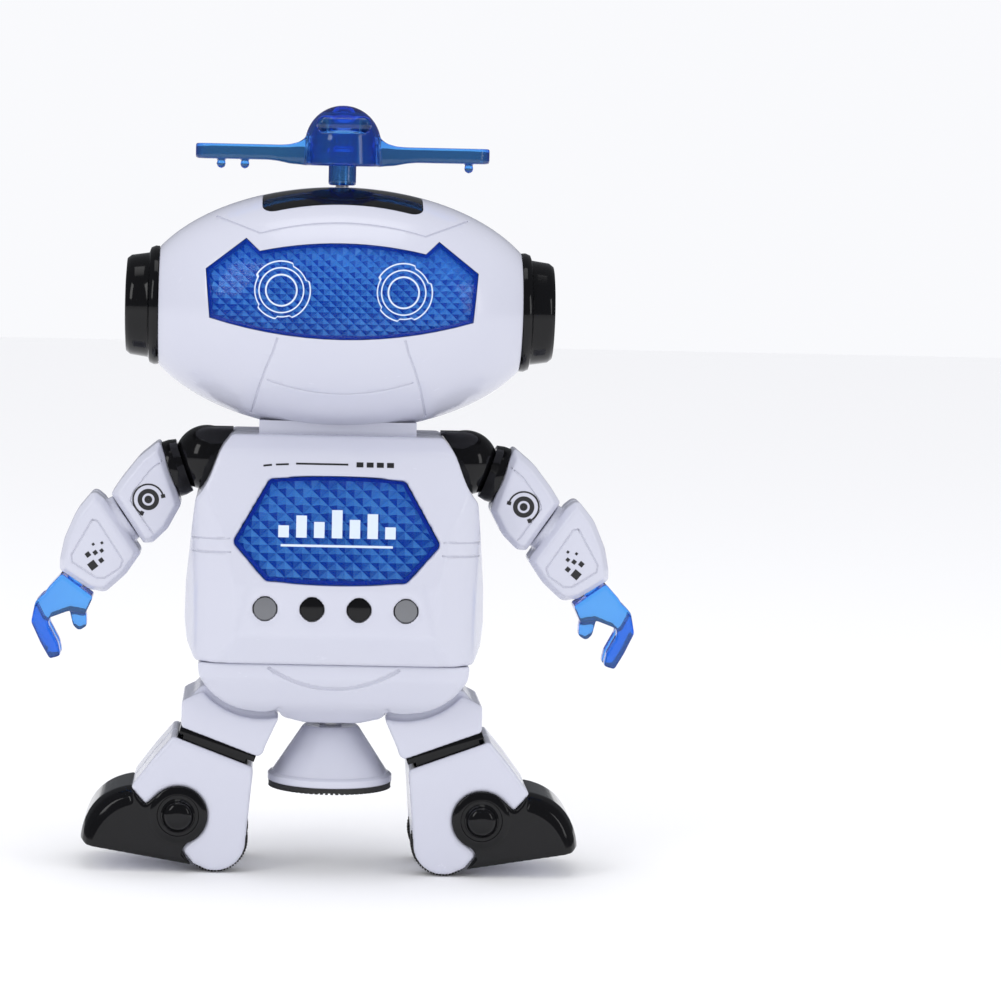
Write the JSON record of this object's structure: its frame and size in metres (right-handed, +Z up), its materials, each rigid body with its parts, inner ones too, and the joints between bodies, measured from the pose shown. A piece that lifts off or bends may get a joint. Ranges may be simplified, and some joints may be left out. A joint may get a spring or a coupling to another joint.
{
  "type": "toy robot",
  "caption": "Battery toy robot with a visor head, toy plane rotor, jointed arms with hook hands, wheeled boots and a spinning turntable under the pelvis.",
  "frame": {"origin": "on the floor under the middle of the robot, where the heel wheels stand", "axes": "+Z up, -Y the way the robot faces, +X to the right as seen from the front"},
  "size_m": [0.1874, 0.0751, 0.2373],
  "materials": {
    "white_plastic": "glossy moulded white, faintly lavender",
    "black_gloss_plastic": "glossy moulded black",
    "clear_blue_plastic": "clear blue, polished",
    "blue_lens": "clear blue over facets",
    "reflector": "faceted mirror foil",
    "smoked_window": "smoked black, polished",
    "button_plastic": "satin dark grey",
    "tread_rubber": "ribbed black",
    "steel": "plain bright",
    "circuit_board": "green solder mask",
    "inner_black": "matte",
    "gear_plastic": "natural grey",
    "cell_wrap": "plain foil wrap"
  },
  "bodies": {
    "robot_body": {"head_front_shell": "white_plastic", "head_rear_shell": "white_plastic", "visor_lens": "blue_lens", "visor_reflector": "reflector", "top_window": "smoked_window", "ear_cap_left": "black_gloss_plastic", "ear_cap_right": "black_gloss_plastic", "neck_block": "white_plastic", "eye_led_board": "circuit_board", "speaker": "inner_black", "torso_front_shell": "white_plastic", "torso_rear_shell": "white_plastic", "pelvis_shell": "white_plastic", "chest_lens": "blue_lens", "chest_reflector": "reflector", "battery_tray": "inner_black", "batteries": "cell_wrap", "main_board": "circuit_board", "gearbox": "gear_plastic", "shoulder_dome_left": "black_gloss_plastic", "shoulder_dome_right": "black_gloss_plastic"},
    "plane": {"plane_body": "clear_blue_plastic", "plane_spindle": "steel"},
    "turntable_lift": {"lift_shaft": "steel"},
    "turntable": {"turntable_cone": "white_plastic", "turntable_hub": "black_gloss_plastic", "turntable_tread": "tread_rubber", "turntable_screws": "steel"},
    "upper_arm_left": {"shoulder_collar_left": "black_gloss_plastic", "upper_arm_front_left": "white_plastic", "upper_arm_rear_left": "white_plastic"},
    "forearm_left": {"forearm_front_left": "white_plastic", "forearm_rear_left": "white_plastic"},
    "hand_left": {"hand_left": "clear_blue_plastic"},
    "thigh_left": {"thigh_left": "white_plastic", "knee_core_left": "black_gloss_plastic"},
    "boot_left": {"boot_front_left": "white_plastic", "boot_rear_left": "white_plastic", "toe_cap_left": "black_gloss_plastic"},
    "heel_wheels_left": {"heel_wheels_left": "tread_rubber", "wheel_axle_left": "steel"},
    "upper_arm_right": {"shoulder_collar_right": "black_gloss_plastic", "upper_arm_front_right": "white_plastic", "upper_arm_rear_right": "white_plastic"},
    "forearm_right": {"forearm_front_right": "white_plastic", "forearm_rear_right": "white_plastic"},
    "hand_right": {"hand_right": "clear_blue_plastic"},
    "thigh_right": {"thigh_right": "white_plastic", "knee_core_right": "black_gloss_plastic"},
    "boot_right": {"boot_front_right": "white_plastic", "boot_rear_right": "white_plastic", "toe_cap_right": "black_gloss_plastic"},
    "heel_wheels_right": {"heel_wheels_right": "tread_rubber", "wheel_axle_right": "steel"},
    "button_outer_left": {"button_outer_left": "button_plastic"},
    "button_inner_left": {"button_inner_left": "button_plastic"},
    "button_inner_right": {"button_inner_right": "button_plastic"},
    "button_outer_right": {"button_outer_right": "button_plastic"},
    "power_switch": {"power_switch": "button_plastic"},
    "battery_door": {"battery_door": "white_plastic"}
  },
  "joints": [
    {"name": "plane_spin", "type": "hinge", "parent": "robot_body", "child": "plane", "pos_m": [0, 0.004, 0.22], "axis": [0, 0, 1], "continuous": true},
    {"name": "turntable_lift", "type": "slide", "parent": "robot_body", "child": "turntable_lift", "axis": [0, 0, -1], "range_m": [0, 0.027]},
    {"name": "turntable_spin", "type": "hinge", "parent": "turntable_lift", "child": "turntable", "pos_m": [0, 0, 0.03], "axis": [0, 0, 1], "continuous": true},
    {"name": "shoulder_left", "type": "hinge", "parent": "robot_body", "child": "upper_arm_left", "pos_m": [-0.0402, 0, 0.1275], "axis": [-0.9415, 0, -0.3371], "range_deg": [-90, 180]},
    {"name": "elbow_left", "type": "hinge", "parent": "upper_arm_left", "child": "forearm_left", "pos_m": [-0.06561, 0, 0.10808], "axis": [-0.8141, 0, -0.5807], "range_deg": [-90, 90]},
    {"name": "wrist_left", "type": "hinge", "parent": "forearm_left", "child": "hand_left", "pos_m": [-0.07996, 0, 0.08898], "axis": [-0.5299, 0, -0.848], "range_deg": [-90, 90]},
    {"name": "hip_left", "type": "hinge", "parent": "robot_body", "child": "thigh_left", "pos_m": [-0.022, 0, 0.0723], "axis": [0, 1, 0], "range_deg": [0, 24]},
    {"name": "knee_left", "type": "hinge", "parent": "thigh_left", "child": "boot_left", "pos_m": [-0.03703, 0, 0.03488], "axis": [0, 1, 0], "range_deg": [-5, 5]},
    {"name": "heel_wheels_left", "type": "hinge", "parent": "boot_left", "child": "heel_wheels_left", "pos_m": [-0.0354, 0, 0.0102], "axis": [0, 1, 0], "continuous": true},
    {"name": "shoulder_right", "type": "hinge", "parent": "robot_body", "child": "upper_arm_right", "pos_m": [0.0402, 0, 0.1275], "axis": [-0.9415, 0, 0.3371], "range_deg": [-90, 180]},
    {"name": "elbow_right", "type": "hinge", "parent": "upper_arm_right", "child": "forearm_right", "pos_m": [0.06561, 0, 0.10808], "axis": [0.8141, 0, -0.5807], "range_deg": [-90, 90]},
    {"name": "wrist_right", "type": "hinge", "parent": "forearm_right", "child": "hand_right", "pos_m": [0.07996, 0, 0.08898], "axis": [0.5299, 0, -0.848], "range_deg": [-90, 90]},
    {"name": "hip_right", "type": "hinge", "parent": "robot_body", "child": "thigh_right", "pos_m": [0.022, 0, 0.0723], "axis": [0, -1, 0], "range_deg": [0, 24]},
    {"name": "knee_right", "type": "hinge", "parent": "thigh_right", "child": "boot_right", "pos_m": [0.03703, 0, 0.03488], "axis": [0, -1, 0], "range_deg": [-5, 5]},
    {"name": "heel_wheels_right", "type": "hinge", "parent": "boot_right", "child": "heel_wheels_right", "pos_m": [0.0354, 0, 0.0102], "axis": [0, 1, 0], "continuous": true},
    {"name": "press_button_outer_left", "type": "slide", "parent": "robot_body", "child": "button_outer_left", "axis": [0, 1, 0], "range_m": [0, 0.0012], "stiffness_N_per_m": 600, "springref_m": -0.001},
    {"name": "press_button_inner_left", "type": "slide", "parent": "robot_body", "child": "button_inner_left", "axis": [0, 1, 0], "range_m": [0, 0.0012], "stiffness_N_per_m": 600, "springref_m": -0.001},
    {"name": "press_button_inner_right", "type": "slide", "parent": "robot_body", "child": "button_inner_right", "axis": [0, 1, 0], "range_m": [0, 0.0012], "stiffness_N_per_m": 600, "springref_m": -0.001},
    {"name": "press_button_outer_right", "type": "slide", "parent": "robot_body", "child": "button_outer_right", "axis": [0, 1, 0], "range_m": [0, 0.0012], "stiffness_N_per_m": 600, "springref_m": -0.001},
    {"name": "power_switch_slide", "type": "slide", "parent": "robot_body", "child": "power_switch", "axis": [1, 0, 0], "range_m": [-0.002, 0.002]},
    {"name": "battery_door_hinge", "type": "hinge", "parent": "robot_body", "child": "battery_door", "pos_m": [0, 0.0294, 0.0794], "axis": [-1, 0, 0], "range_deg": [0, 75]}
  ]
}
